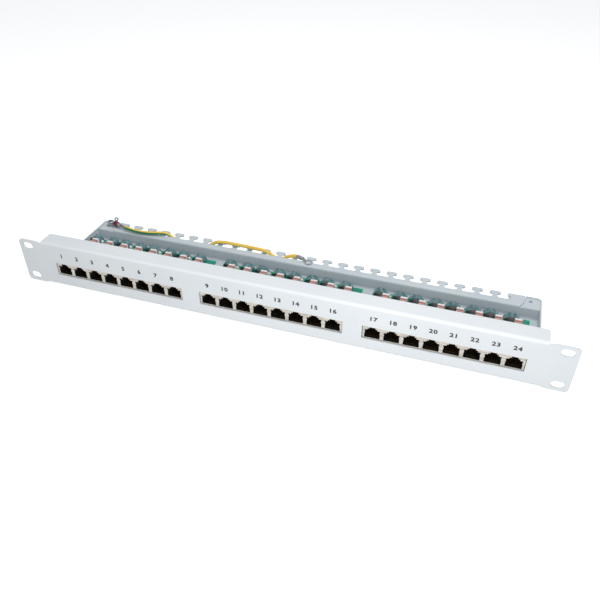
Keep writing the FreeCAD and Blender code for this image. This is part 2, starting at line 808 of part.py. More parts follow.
def make_board_fixings():
    """Tapped pillars and screws at each board's front, and plain pillars under its rear."""
    floor_top = "(Dims.panel_sheet + Dims.tray_sheet)"
    pillars = []
    screws = []
    for i, (x, y) in enumerate(fixing_points("Dims.fixing_y")):
        pillar = make_pillar(f"pillar{i}", x, y, floor_top)
        bore = cylinder(f"pillar_bore{i}", "1.5", "Dims.board_bottom", x, y, f"{floor_top} + 1")
        pillars.append(cut(f"standoff{i}", pillar, bore))
        shank_foot = f"{BOARD_TOP} - 5"
        shank = cylinder(f"screw_shank{i}", "1.45", "5.5", x, y, shank_foot)
        head = cylinder(f"screw_head{i}", "2.8", "1.7", x, y, BOARD_TOP)
        solid = fuse(f"screw_body{i}", [shank, head])
        cross = recess(f"screw_cross{i}", 1.5, "1", x, y, f"({BOARD_TOP} + 1.8)")
        screws.append(cut(f"board_screw{i}", solid, cross))
    for i, (x, y) in enumerate(fixing_points("Dims.pillar_y")):
        pillars.append(make_pillar(f"rear_pillar{i}", x, y, floor_top))
    group("board_standoffs", pillars)
    group("board_screws", screws)


def make_corner_nuts():
    nuts = []
    for i, sign in enumerate(("", "-")):
        x, y = f"{sign}Dims.corner_hole_x", "Dims.corner_hole_y"
        under = "(Dims.corner_tab_top - Dims.tray_sheet)"
        ring = cylinder(f"nut_ring{i}", "3.2", "2.3", x, y, f"{under} - 2.3")
        bore = cylinder(f"nut_bore{i}", "Dims.cover_thread_radius", "5", x, y, f"{under} - 3")
        nuts.append(cut(f"press_nut{i}", ring, bore))
    group("corner_nuts", nuts)


# ---------------------------------------------------------------- earth connection

EARTH_X = "-Dims.corner_hole_x"
EARTH_Y = "Dims.corner_hole_y"
LUG_SHEET = 0.8
LEAD_YAW = -16.0
TAG_YAW = 24.0
FREE_LUG_YAW = 163.0
FIXED_LUG_RISE = 4.2
FREE_LUG_RISE = 2.2
BARREL_START = 6.5
FIXED_BARREL = "8.5"
FREE_BARREL = "7.1"
STRAND_LENGTH = 5.3
EYE_REACH = "6.4"
EYE_HEIGHT = "4.8"

# The lead's route in the drawing frame. Its sheath starts beside the bare strands, lies over
# three tabs, goes down through a gap, passes under three, comes up and crosses four more,
# goes under one, and ends in the free lug on the tabs in the middle.
LEAD_ROUTE = [
    (-189.1, 87.7, 16.3),
    (-181.0, 85.6, 16.1),
    (-171.5, 85.2, 15.6),
    (-161.5, 85.9, 15.6),
    (-152.0, 88.2, 16.0),
    (-143.6, 91.7, 15.7),
    (-136.2, 92.6, 9.5),
    (-126.5, 91.9, 8.3),
    (-116.0, 91.3, 7.9),
    (-106.0, 91.4, 8.3),
    (-97.2, 91.9, 9.6),
    (-89.8, 92.2, 15.4),
    (-80.5, 92.9, 16.4),
    (-69.5, 93.5, 15.8),
    (-58.0, 93.2, 15.8),
    (-46.5, 91.9, 16.3),
    (-35.4, 91.5, 15.9),
    (-28.8, 91.9, 9.9),
    (-20.2, 92.3, 9.6),
    (-13.4, 93.2, 14.6),
    (-6.3, 92.65, 15.5),
]


def make_lug(label, x, y, z, yaw, eye_hole, axis_height, barrel_length):
    """A crimped ring lug: eye at the origin, tongue rising to a round barrel along +X."""
    body = new_body(label, x, y, z, yaw)
    t = LUG_SHEET
    tongue = new_sketch(body, "XZ_Plane")
    outline(tongue, [
        (2.5, 0),
        (4.1, 0),
        (6.3, axis_height - 0.7),
        (6.8, axis_height - 0.7),
        (6.8, axis_height + 0.5),
        (5.7, axis_height + 0.5),
        (3.6, t),
        (2.5, t),
    ])
    pad(body, tongue, "3.4", "Symmetric")
    eye = new_sketch(body, "XY_Plane")
    circle(eye, "0", "0", "4.1")
    pad(body, eye, str(t))
    barrel = new_sketch(body, "YZ_Plane", str(BARREL_START))
    circle(barrel, "0", str(axis_height), "Dims.barrel_radius")
    pad(body, barrel, barrel_length)
    hole = new_sketch(body, "XY_Plane", "-1")
    circle(hole, "0", "0", eye_hole)
    pocket(body, hole, "3", flip=True)
    return body


def make_earth_tag():
    """A double-eye tag: one eye under the screw, the other twisted upright for a clip."""
    z = f"Dims.corner_tab_top + {2 * LUG_SHEET}"
    body = new_body("earth_tag", EARTH_X, EARTH_Y, z, TAG_YAW)
    t = LUG_SHEET
    strip = new_sketch(body, "XZ_Plane")
    outline(strip, [(2.5, 0), (7.2, 0), (7.2, t), (2.5, t)])
    pad(body, strip, "2", "Symmetric")
    stem = new_sketch(body, "XZ_Plane")
    outline(stem, [(5.6, 0), (7.2, 0), (7.2, 3.3), (5.6, 3.3)])
    pad(body, stem, str(t), "Symmetric")
    flat_eye = new_sketch(body, "XY_Plane")
    circle(flat_eye, "0", "0", "3.5")
    pad(body, flat_eye, str(t))
    upright_eye = new_sketch(body, "XZ_Plane")
    circle(upright_eye, EYE_REACH, EYE_HEIGHT, "2.1")
    pad(body, upright_eye, str(t), "Symmetric")
    flat_hole = new_sketch(body, "XY_Plane", "-1")
    circle(flat_hole, "0", "0", "Dims.screw_clearance_radius")
    pocket(body, flat_hole, "3", flip=True)
    upright_hole = new_sketch(body, "XZ_Plane")
    circle(upright_hole, EYE_REACH, EYE_HEIGHT, "1.05")
    pocket(body, upright_hole, "2", "Symmetric")


def make_earth_screw():
    stack = f"(Dims.corner_tab_top + {3 * LUG_SHEET})"
    foot = "(Dims.corner_tab_top - 3.4)"
    shank = cylinder("earth_shank", "1.6", f"{stack} - {foot} + 0.5", z=foot)
    head = cylinder("earth_head", "3.5", "2.4", z=stack)
    solid = fuse("earth_solid", [shank, head])
    doc.recompute()
    crown = doc.addObject("Part::Fillet", "earth_crown")
    crown.Base = solid
    rims = [
        (i, 1.0, 1.0)
        for i, edge in enumerate(solid.Shape.Edges, start=1)
        if abs(edge.BoundBox.ZMin - solid.Shape.BoundBox.ZMax) < 1e-6
    ]
    crown.Edges = rims
    cross = recess("earth_cross", 1.9, "1.4", "0", "0", f"({stack} + 2.5)")
    screw = cut("earth_screw", crown, cross)
    screw.Label = "earth_screw"
    place(screw, EARTH_X, EARTH_Y)
    written.append(screw)


def make_star_washer():
    """A toothed lock washer between the lug and the tag."""
    body = new_body("star_washer", EARTH_X, EARTH_Y, f"Dims.corner_tab_top + {LUG_SHEET}")
    ring = new_sketch(body, "XY_Plane")
    teeth = 12
    points = []
    for i in range(2 * teeth):
        radius = 3.9 if i % 2 == 0 else 3.1
        angle = math.pi * i / teeth
        points.append((radius * math.cos(angle), radius * math.sin(angle)))
    outline(ring, points)
    circle(ring, "0", "0", "2.1")
    pad(body, ring, str(LUG_SHEET))


def make_bare_strands():
    """The lead's bare conductor between the fixed lug's barrel and the sheath."""
    body = new_body("bare_strands", EARTH_X, EARTH_Y, "Dims.corner_tab_top", LEAD_YAW)
    strands = new_sketch(body, "YZ_Plane", f"{BARREL_START} + {FIXED_BARREL}")
    circle(strands, "0", str(FIXED_LUG_RISE), "Dims.strand_radius")
    pad(body, strands, str(STRAND_LENGTH))


def make_lug_sleeve():
    """The short insulating sleeve over the root of the fixed lug's barrel."""
    body = new_body("lug_sleeve", EARTH_X, EARTH_Y, "Dims.corner_tab_top", LEAD_YAW)
    tube = new_sketch(body, "YZ_Plane", str(BARREL_START))
    circle(tube, "0", str(FIXED_LUG_RISE), "Dims.sleeve_radius")
    circle(tube, "0", str(FIXED_LUG_RISE), "Dims.barrel_radius")
    pad(body, tube, "4.4")


def rounded_path(points):
    """Straight runs joined by tangent arcs, each as large as its two runs allow."""
    corners = [vec(*point) for point in points]
    edges = []
    start = corners[0]
    radii = []
    for i in range(1, len(corners) - 1):
        back = corners[i - 1] - corners[i]
        ahead = corners[i + 1] - corners[i]
        trim = 0.45 * min(back.Length, ahead.Length)
        turn = math.pi - back.getAngle(ahead)
        radii.append(trim / math.tan(turn / 2))
        back.normalize()
        ahead.normalize()
        arc_start = corners[i] + back * trim
        arc_end = corners[i] + ahead * trim
        inward = back + ahead
        inward.normalize()
        sagitta = radii[-1] * (1 / math.cos(turn / 2) - 1)
        edges.append(Part.LineSegment(start, arc_start).toShape())
        edges.append(Part.Arc(arc_start, corners[i] + inward * sagitta, arc_end).toShape())
        start = arc_end
    edges.append(Part.LineSegment(start, corners[-1]).toShape())
    return Part.Wire(edges), radii


def make_earth_lead():
    """The stranded earth lead, a tube along its route."""
    wire, radii = rounded_path(LEAD_ROUTE)
    radius = size("lead_diameter") / 2
    direction = vec(*LEAD_ROUTE[1]) - vec(*LEAD_ROUTE[0])
    ring = Part.Wire([Part.Circle(vec(*LEAD_ROUTE[0]), direction, radius).toShape()])
    tube = wire.makePipeShell([ring], True, False)
    if tube.ShapeType != "Solid":
        tube = Part.Solid(Part.Shell(tube.Faces))
    if tube.Volume < 0:
        tube.reverse()
    section = math.pi * radius ** 2
    print(f"lead length {wire.Length:.1f} mm, smallest radius {min(radii):.1f} mm,"
          f" volume over section x length {tube.Volume / (section * wire.Length):.4f}")
    lead = doc.addObject("Part::Feature", "earth_lead")
    lead.Label = "earth_lead"
    lead.Shape = tube
    place(lead)
    written.append(lead)


# ---------------------------------------------------------------- assembly

def make_all():
    make_front_panel()
    make_rear_tray()
    make_rivets()
    for gang in range(GANGS):
        make_board(gang)
        make_jack_shield(gang)
        make_jack_housing(gang)
        make_wiring_blocks(gang)
        make_wiring_blades(gang)
        make_shield_saddles(gang)
        for port in range(PORTS_PER_GANG):
            make_contact_springs(gang, port)
    make_board_fixings()
    make_corner_nuts()
    make_lug("earth_lug", EARTH_X, EARTH_Y, "Dims.corner_tab_top", LEAD_YAW,
             "Dims.screw_clearance_radius", FIXED_LUG_RISE, FIXED_BARREL)
    make_lug_sleeve()
    make_bare_strands()
    make_earth_tag()
    make_star_washer()
    make_earth_screw()
    make_earth_lead()
    make_lug("free_lug", "7.0", "88.6", "Dims.tray_top + 0.05", FREE_LUG_YAW,
             "Dims.free_eye_radius", FREE_LUG_RISE, FREE_BARREL)


def check_document():
    """Stop if any object failed or any sub-part's shape is unusable."""
    for item in doc.Objects:
        if "Invalid" in item.State or "Error" in item.State:
            raise ValueError(f"{item.Name} ({item.Label}) failed: {item.State}")
    for item in written:
        shape = item.Shape
        if shape.isNull() or not shape.isValid() or not shape.Solids:
            raise ValueError(f"{item.Label} has no valid solid")


make_all()
doc.recompute()
check_document()
os.makedirs("parts", exist_ok=True)
for item in written:
    item.Shape.exportStep(f"parts/{item.Label}.step")
    box = item.Shape.BoundBox
    print(f"{item.Label:22s} solids {len(item.Shape.Solids):3d} volume {item.Shape.Volume:10.1f}"
          f"  x {box.XMin:8.2f} {box.XMax:8.2f}  y {box.YMin:7.2f} {box.YMax:7.2f}"
          f"  z {box.ZMin:7.2f} {box.ZMax:7.2f}")
print(f"{len(written)} sub-parts written")
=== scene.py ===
import math

import bpy
from mathutils import Matrix, Vector


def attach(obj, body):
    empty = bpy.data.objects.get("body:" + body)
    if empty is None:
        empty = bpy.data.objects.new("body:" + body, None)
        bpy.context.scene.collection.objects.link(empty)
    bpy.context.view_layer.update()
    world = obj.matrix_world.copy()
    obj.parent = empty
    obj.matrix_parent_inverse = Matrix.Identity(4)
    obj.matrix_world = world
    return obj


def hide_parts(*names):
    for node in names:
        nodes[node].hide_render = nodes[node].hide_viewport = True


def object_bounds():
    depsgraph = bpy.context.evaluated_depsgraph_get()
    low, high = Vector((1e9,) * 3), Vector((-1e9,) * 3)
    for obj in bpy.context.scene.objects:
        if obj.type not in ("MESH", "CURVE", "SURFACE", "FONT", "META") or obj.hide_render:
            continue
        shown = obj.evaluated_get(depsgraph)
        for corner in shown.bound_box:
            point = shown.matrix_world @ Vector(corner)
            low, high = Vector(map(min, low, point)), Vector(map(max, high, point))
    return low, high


# Looks for a 24-port shielded patch panel: powder-coated sheet steel, nickel-plated jack
# shields, white punch-down blocks on green boards, and a green and yellow earth lead.

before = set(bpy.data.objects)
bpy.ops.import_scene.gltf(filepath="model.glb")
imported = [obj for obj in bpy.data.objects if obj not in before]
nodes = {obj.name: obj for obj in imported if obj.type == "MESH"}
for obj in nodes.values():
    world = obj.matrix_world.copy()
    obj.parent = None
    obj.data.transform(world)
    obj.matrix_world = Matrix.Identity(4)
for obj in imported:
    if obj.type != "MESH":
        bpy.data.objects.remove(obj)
cad_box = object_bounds()

MM = 0.001
PANEL = "panel"
GANGS = 3
PORTS_PER_GANG = 8
GANG_PITCH = 143.26
PORT_PITCH = 15.73
BOARD_TOP = 12.0

# The punch-down towers and their slots, in mm.
BASE_HEIGHT = 1.2
TOWER_WIDTH = 6.0
TOWER_OFFSET = 0.4
TOWER_FRONT = 24.4
TOWER_REAR = 52.0
TOWER_TOP = 22.4
SLOT_BOTTOM = 16.9
FIRST_SLOT_Y = 25.3
TOOTH_PITCH = 3.2
SLOT = 0.8


# ---------------------------------------------------------------- places and small helpers

def at(x, y, z):
    """A point in mm from the middle of the panel's bottom front edge, in the row's frame."""
    return Vector((x, y - 1.5, z - 21.85)) * MM


def gang_x(gang):
    """The middle of a gang of eight ports, in mm."""
    return (gang - 1) * GANG_PITCH


def port_x(gang, port):
    """The middle of a port, in mm."""
    return gang_x(gang) + (port - 3.5) * PORT_PITCH


def linear(hex_colour):
    """An sRGB hex colour as the linear colour that a shader takes."""
    parts = [int(hex_colour[i:i + 2], 16) / 255 for i in (0, 2, 4)]
    return [p / 12.92 if p <= 0.04045 else ((p + 0.055) / 1.055) ** 2.4 for p in parts] + [1.0]


def deselect():
    bpy.ops.object.select_all(action="DESELECT")


def take(piece):
    """Make a piece the only one selected."""
    deselect()
    piece.select_set(True)
    bpy.context.view_layer.objects.active = piece


def settle(piece):
    """Put a piece's place, turn and size into its mesh."""
    take(piece)
    bpy.ops.object.transform_apply(location=True, rotation=True, scale=True)


def block(low, high):
    """A rectangular blank between two corners in mm."""
    deselect()
    a, b = at(*low), at(*high)
    bpy.ops.mesh.primitive_cube_add(size=1, location=(a + b) / 2)
    piece = bpy.context.object
    piece.scale = b - a
    settle(piece)
    return piece


def rod(centre, radius, height, sides):
    """An upright round or many-sided blank that stands on a point, sizes in mm."""
    deselect()
    bpy.ops.mesh.primitive_cylinder_add(
        vertices=sides,
        radius=radius * MM,
        depth=height * MM,
        location=at(centre[0], centre[1], centre[2] + height / 2),
    )
    piece = bpy.context.object
    settle(piece)
    return piece


def pick_faces(piece, wanted):
    """Open a piece for editing with the faces that wanted(centre, normal) accepts."""
    take(piece)
    for part in (piece.data.vertices, piece.data.edges, piece.data.polygons):
        part.foreach_set("select", [False] * len(part))
    for face in piece.data.polygons:
        face.select = wanted(face.center, face.normal)
    bpy.context.tool_settings.mesh_select_mode = (False, False, True)
    bpy.ops.object.mode_set(mode="EDIT")


def close_edit():
    bpy.ops.object.mode_set(mode="OBJECT")


def looks_up(centre, normal):
    return normal.z > 0.9


def raise_and_shrink(rise, shrink, middle):
    """Extrude the picked faces by rise mm and scale their rim about a middle point."""
    bpy.ops.mesh.extrude_region_move(TRANSFORM_OT_translate={"value": Vector(rise) * MM})
    bpy.ops.transform.resize(value=shrink, center_override=middle)


def soften(piece, width):
    """Break a piece's sharp edges by a bevel of width mm."""
    take(piece)
    bevel = piece.modifiers.new("edge break", "BEVEL")
    bevel.width = width * MM
    bevel.limit_method = "ANGLE"
    bpy.ops.object.modifier_apply(modifier=bevel.name)


def twin(piece, x=0.0, y=0.0):
    """A copy of a piece with a mesh of its own, moved by mm."""
    other = piece.copy()
    other.data = piece.data.copy()
    other.data.transform(Matrix.Translation(Vector((x, y, 0)) * MM))
    bpy.context.scene.collection.objects.link(other)
    return other


def join(parts, name):
    """Several meshes as one named piece."""
    deselect()
    for part in parts:
        part.select_set(True)
    bpy.context.view_layer.objects.active = parts[0]
    bpy.ops.object.join()
    piece = bpy.context.object
    piece.name = name
    piece.data.name = name
    return piece


def finish_piece(piece, material, replaced=()):
    """Give a piece its material and the body that it rides on."""
    piece.data.materials.clear()
    piece.data.materials.append(material)
    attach(piece, PANEL)
    if replaced:
        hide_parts(*replaced)


# ---------------------------------------------------------------- materials

def add_node(material, kind, settings=None, links=None, **values):
    """Add a node. links maps an input to another node's output, values are constants."""
    tree = material.node_tree
    made = tree.nodes.new(kind)
    for name, value in (settings or {}).items():
        setattr(made, name, value)
    for name, value in values.items():
        made.inputs[name.replace("_", " ")].default_value = value
    for name, output in (links or {}).items():
        tree.links.new(output, made.inputs[name])
    return made


def new_material(name):
    """A material with an empty principled surface, and the Object coordinates."""
    material = bpy.data.materials.new(name)
    material.use_nodes = True
    surface = material.node_tree.nodes["Principled BSDF"]
    place = add_node(material, "ShaderNodeTexCoord").outputs["Object"]
    return material, surface, place


def connect(material, output, socket):
    material.node_tree.links.new(output, socket)


def set_ramp(ramp, stops, steps=False):
    """Give a colour ramp its stops, (position, hex colour)."""
    ramp.color_ramp.interpolation = "CONSTANT" if steps else "LINEAR"
    band = ramp.color_ramp.elements
    while len(band) > 1:
        band.remove(band[-1])
    band[0].position, band[0].color = stops[0][0], linear(stops[0][1])
    for position, colour in stops[1:]:
        band.new(position).color = linear(colour)


def per_metre(size_mm):
    """The noise scale whose features are about this many mm across."""
    return 1000 / size_mm


def powder_coat(name, dark, light):
    """Baked polyester powder on steel: light grey, semi-gloss, with a fine orange peel.

    The eye gets a soft, slightly broken highlight along the bends and an even grey face.
    """
    material, surface, place = new_material(name)
    cloud = add_node(material, "ShaderNodeTexNoise", links={"Vector": place},
                     Scale=per_metre(60), Detail=3.0)
    tint = add_node(material, "ShaderNodeValToRGB", links={"Fac": cloud.outputs["Fac"]})
    set_ramp(tint, [(0.3, dark), (0.7, light)])
    connect(material, tint.outputs["Color"], surface.inputs["Base Color"])
    # The real peel is about 0.8 mm across; it is drawn at 1.6 mm so that it can show.
    peel = add_node(material, "ShaderNodeTexNoise", links={"Vector": place},
                    Scale=per_metre(1.6), Detail=2.0)
    bump = add_node(material, "ShaderNodeBump", links={"Height": peel.outputs["Fac"]},
                    Strength=0.12, Distance=0.0002)
    connect(material, bump.outputs["Normal"], surface.inputs["Normal"])
    gloss = add_node(material, "ShaderNodeMapRange", links={"Value": peel.outputs["Fac"]},
                     To_Min=0.34, To_Max=0.46)
    connect(material, gloss.outputs["Result"], surface.inputs["Roughness"])
    surface.inputs["IOR"].default_value = 1.5
    return material


def plated(name, light, dark, rough, grain_mm, stretch=(1, 1, 1)):
    """A plated metal: two close shades in a grain, which also varies the gloss."""
    material, surface, place = new_material(name)
    turned = add_node(material, "ShaderNodeMapping", links={"Vector": place}, Scale=stretch)
    grain = add_node(material, "ShaderNodeTexNoise", links={"Vector": turned.outputs["Vector"]},
                     Scale=per_metre(grain_mm), Detail=4.0)
    tint = add_node(material, "ShaderNodeValToRGB", links={"Fac": grain.outputs["Fac"]})
    set_ramp(tint, [(0.35, dark), (0.65, light)])
    connect(material, tint.outputs["Color"], surface.inputs["Base Color"])
    gloss = add_node(material, "ShaderNodeMapRange", links={"Value": grain.outputs["Fac"]},
                     To_Min=rough - 0.06, To_Max=rough + 0.08)
    connect(material, gloss.outputs["Result"], surface.inputs["Roughness"])
    bump = add_node(material, "ShaderNodeBump", links={"Height": grain.outputs["Fac"]},
                    Strength=0.15, Distance=0.00005)
    connect(material, bump.outputs["Normal"], surface.inputs["Normal"])
    surface.inputs["Metallic"].default_value = 1.0
    return material


def zinc_plate():
    """Bright zinc on small steel fixings: cool grey, with a faint cloudy bloom."""
    return plated("zinc_plate", "cfd2d4", "a9adb0", 0.3, 1.2)


def nickel_plate():
    """Satin nickel on drawn sheet: warm grey, with fine lines along the strip."""
    return plated("nickel_plate", "bfbab2", "9f9a92", 0.34, 0.9, (0.15, 1, 1))


def tin_plate():
    """Dull tin on pressed lugs and blades: a soft grey with a cloudy bloom."""
    return plated("tin_plate", "d6d8d9", "aeb2b5", 0.42, 1.6)


def tin_with_painted_reflection():
    """Bright tin on the spring-steel saddles: blue-grey, with a painted reflection of the green
    board in its teal tint.
    """
    return plated("tin_with_painted_reflection", "9cc0c3", "6b959b", 0.3, 2.5)


def tinned_strands():
    """Tinned copper strands laid side by side: fine bright ridges along a slow twist."""
    material, surface, place = new_material("tinned_strands")
    turned = add_node(material, "ShaderNodeMapping", links={"Vector": place},
                      Rotation=(0, 0, math.radians(24)))
    # Strands 0.5 mm thick, coarser than the real 0.25 mm so that they can show.
    ridges = add_node(material, "ShaderNodeTexWave", {"bands_direction": "Y"},
                      {"Vector": turned.outputs["Vector"]},
                      Scale=2 * math.pi / 20 / 0.0005, Distortion=0.4)
    tint = add_node(material, "ShaderNodeValToRGB", links={"Fac": ridges.outputs["Fac"]})
    set_ramp(tint, [(0.2, "6d6a66"), (0.8, "c9c6c0")])
    connect(material, tint.outputs["Color"], surface.inputs["Base Color"])
    bump = add_node(material, "ShaderNodeBump", links={"Height": ridges.outputs["Fac"]},
                    Strength=0.6, Distance=0.0001)
    connect(material, bump.outputs["Normal"], surface.inputs["Normal"])
    surface.inputs["Metallic"].default_value = 1.0
    surface.inputs["Roughness"].default_value = 0.35
    return material


def gold_plate():
    """Thin gold on phosphor bronze wire: deep yellow, smooth, with short drawn lines."""
    return plated("gold_plate", "b8914c", "8d6a33", 0.26, 0.5, (1, 0.2, 1))


def solder_mask():
    """Green solder mask on glass-epoxy board: glossy, with paler lines over the copper."""
    material, surface, place = new_material("solder_mask")
    # Tracks 0.5 mm wide at a 1.27 mm pitch run from the jacks to the blocks.
    tracks = add_node(material, "ShaderNodeTexWave",
                      {"bands_direction": "X", "wave_profile": "SIN"}, {"Vector": place},
                      Scale=2 * math.pi / 20 / 0.00127, Distortion=0.6, Detail=1.0)
    patches = add_node(material, "ShaderNodeTexNoise", links={"Vector": place},
                       Scale=per_metre(9), Detail=1.0)
    copper = add_node(material, "ShaderNodeMath", {"operation": "MULTIPLY"})
    line = add_node(material, "ShaderNodeMapRange", links={"Value": tracks.outputs["Fac"]},
                    From_Min=0.62, From_Max=0.74)
    area = add_node(material, "ShaderNodeMapRange", links={"Value": patches.outputs["Fac"]},
                    From_Min=0.42, From_Max=0.5)
    connect(material, line.outputs["Result"], copper.inputs[0])
    connect(material, area.outputs["Result"], copper.inputs[1])
    tint = add_node(material, "ShaderNodeValToRGB", links={"Fac": copper.outputs[0]})
    set_ramp(tint, [(0.0, "0a9076"), (1.0, "22b596")])
    connect(material, tint.outputs["Color"], surface.inputs["Base Color"])
    bump = add_node(material, "ShaderNodeBump", links={"Height": copper.outputs[0]},
                    Strength=0.3, Distance=0.00004)
    connect(material, bump.outputs["Normal"], surface.inputs["Normal"])
    surface.inputs["Roughness"].default_value = 0.28
    surface.inputs["IOR"].default_value = 1.52
    return material


def moulded(name, light, dark, rough, ior):
    """A moulded plastic: near-even colour with a fine spark-eroded tool texture."""
    material, surface, place = new_material(name)
    flow = add_node(material, "ShaderNodeTexNoise", links={"Vector": place},
                    Scale=per_metre(5), Detail=2.0)
    tint = add_node(material, "ShaderNodeValToRGB", links={"Fac": flow.outputs["Fac"]})
    set_ramp(tint, [(0.35, dark), (0.65, light)])
    connect(material, tint.outputs["Color"], surface.inputs["Base Color"])
    texture = add_node(material, "ShaderNodeTexNoise", links={"Vector": place},
                       Scale=per_metre(0.4), Detail=2.0)
    bump = add_node(material, "ShaderNodeBump", links={"Height": texture.outputs["Fac"]},
                    Strength=0.12, Distance=0.00004)
    connect(material, bump.outputs["Normal"], surface.inputs["Normal"])
    gloss = add_node(material, "ShaderNodeMapRange", links={"Value": texture.outputs["Fac"]},
                     To_Min=rough - 0.05, To_Max=rough + 0.07)
    connect(material, gloss.outputs["Result"], surface.inputs["Roughness"])
    surface.inputs["IOR"].default_value = ior
    return material, surface, place, tint


def black_plastic():
    """Black glass-filled polyester: the eye gets a deep, matt hollow behind each mouth."""
    return moulded("black_plastic", "1a1a1b", "101011", 0.5, 1.57)[0]


def dark_liner_painted_shade():
    """Dark brownish grey cells: painted shade, a soft dark hollow under each bright saddle."""
    material, surface, place = new_material("dark_liner_painted_shade")
    cells = add_node(material, "ShaderNodeTexVoronoi", links={"Vector": place},
                     Scale=per_metre(0.5))
    tint = add_node(material, "ShaderNodeValToRGB", links={"Fac": cells.outputs["Distance"]})
    set_ramp(tint, [(0.1, "80787a"), (0.7, "5d5758")])
    connect(material, tint.outputs["Color"], surface.inputs["Base Color"])
    bump = add_node(material, "ShaderNodeBump", links={"Height": cells.outputs["Distance"]},
                    Strength=0.5, Distance=0.0001)
    connect(material, bump.outputs["Normal"], surface.inputs["Normal"])
    surface.inputs["Roughness"].default_value = 0.85
    return material


def red_sleeve():
    """Clear red vinyl over a crimp: dark where it is thick, with a wet-looking highlight."""
    material, surface, _, _ = moulded("red_insulation", "8e1626", "6a0e1c", 0.22, 1.54)
    surface.inputs["Transmission Weight"].default_value = 0.25
    return material


# Colour marks on the punch-down blocks, one colour for each pair of wires from the front.
# A pair's colour reaches past both its slots, and a narrow white band parts the pairs.
PAIR_COLOURS = ("4a76b8", "d98a4a", "5aa276", "deaea6")
MARK_BEFORE_SLOT = 0.5
MARK_LENGTH = TOOTH_PITCH + SLOT + 1.6
MARK_HEIGHT = 19.8
MARK_WHITE = "fafaf8"


def marked_plastic():
    """White polycarbonate blocks with printed colour marks on the teeth of each pair."""
    material, surface, place, tint = moulded("white_plastic", "fcfcfa", "f5f5f2", 0.38, 1.58)
    axes = add_node(material, "ShaderNodeSeparateXYZ", links={"Vector": place})
    low, high = at(0, TOWER_FRONT, 0).y, at(0, TOWER_REAR, 0).y
    along = add_node(material, "ShaderNodeMapRange", links={"Value": axes.outputs["Y"]},
                     From_Min=low, From_Max=high)
    marks = add_node(material, "ShaderNodeValToRGB", links={"Fac": along.outputs["Result"]})
    stops = [(0.0, MARK_WHITE)]
    depth = TOWER_REAR - TOWER_FRONT
    for pair, colour in enumerate(PAIR_COLOURS):
        slot = FIRST_SLOT_Y + 2 * pair * TOOTH_PITCH
        start = slot - MARK_BEFORE_SLOT - TOWER_FRONT
        stops.append((start / depth, colour))
        stops.append(((start + MARK_LENGTH) / depth, MARK_WHITE))
    set_ramp(marks, stops, steps=True)
    above = add_node(material, "ShaderNodeMath", {"operation": "GREATER_THAN"},
                     {0: axes.outputs["Z"]})
    above.inputs[1].default_value = at(0, 0, MARK_HEIGHT).z
    mixed = add_node(material, "ShaderNodeMix", {"data_type": "RGBA"},
                     {"Factor": above.outputs[0]})
    connect(material, tint.outputs["Color"], mixed.inputs["A"])
    connect(material, marks.outputs["Color"], mixed.inputs["B"])
    connect(material, mixed.outputs["Result"], surface.inputs["Base Color"])
    return material


def printed_ink():
    """Dark grey screen-printed ink: a thin matt film, a little uneven in density."""
    material, surface, place = new_material("printed_ink")
    density = add_node(material, "ShaderNodeTexNoise", links={"Vector": place},
                       Scale=per_metre(0.8), Detail=2.0)
    tint = add_node(material, "ShaderNodeValToRGB", links={"Fac": density.outputs["Fac"]})
    set_ramp(tint, [(0.3, "131418"), (0.7, "212328")])
    connect(material, tint.outputs["Color"], surface.inputs["Base Color"])
    surface.inputs["Roughness"].default_value = 0.55
    surface.inputs["IOR"].default_value = 1.48
    return material


def lead_vinyl():
    """Green and yellow vinyl sheath: two smooth bands that turn slowly round the lead."""
    material, surface, place = new_material("lead_jacket")
    around = add_node(material, "ShaderNodeTexCoord").outputs["UV"]
    axes = add_node(material, "ShaderNodeSeparateXYZ", links={"Vector": around})
    turn = add_node(material, "ShaderNodeMath", {"operation": "MULTIPLY_ADD"},
                    {0: axes.outputs["X"], 2: axes.outputs["Y"]})
    turn.inputs[1].default_value = STRIPE_TURNS
    shifted = add_node(material, "ShaderNodeMath", {"operation": "ADD"}, {0: turn.outputs[0]})
    shifted.inputs[1].default_value = STRIPE_START
    part = add_node(material, "ShaderNodeMath", {"operation": "FRACT"}, {0: shifted.outputs[0]})
    bands = add_node(material, "ShaderNodeValToRGB", links={"Fac": part.outputs[0]})
    edge = 0.015
    set_ramp(bands, [
        (0.0, LEAD_YELLOW),
        (YELLOW_SHARE, LEAD_YELLOW),
        (YELLOW_SHARE + edge, LEAD_GREEN),
        (1.0 - edge, LEAD_GREEN),
        (1.0, LEAD_YELLOW),
    ])
    connect(material, bands.outputs["Color"], surface.inputs["Base Color"])
    scuff = add_node(material, "ShaderNodeTexNoise", links={"Vector": place},
                     Scale=per_metre(3), Detail=3.0)
    gloss = add_node(material, "ShaderNodeMapRange", links={"Value": scuff.outputs["Fac"]},
                     To_Min=0.32, To_Max=0.46)
    connect(material, gloss.outputs["Result"], surface.inputs["Roughness"])
    bump = add_node(material, "ShaderNodeBump", links={"Height": scuff.outputs["Fac"]},
                    Strength=0.1, Distance=0.0001)
    connect(material, bump.outputs["Normal"], surface.inputs["Normal"])
    surface.inputs["IOR"].default_value = 1.54
    return material


def floor_paper():
    """Pale studio paper, lit from behind a little, with a barely visible tooth."""
    material, surface, place = new_material("floor_paper")
    fibre = add_node(material, "ShaderNodeTexNoise", links={"Vector": place},
                     Scale=per_metre(4), Detail=2.0)
    tint = add_node(material, "ShaderNodeValToRGB", links={"Fac": fibre.outputs["Fac"]})
    set_ramp(tint, [(0.3, "f6f6f6"), (0.7, "fafafa")])
    connect(material, tint.outputs["Color"], surface.inputs["Base Color"])
    surface.inputs["Roughness"].default_value = 0.9
    surface.inputs["Emission Color"].default_value = linear("ffffff")
    surface.inputs["Emission Strength"].default_value = 0.5
    return material


# ---------------------------------------------------------------- camera and light

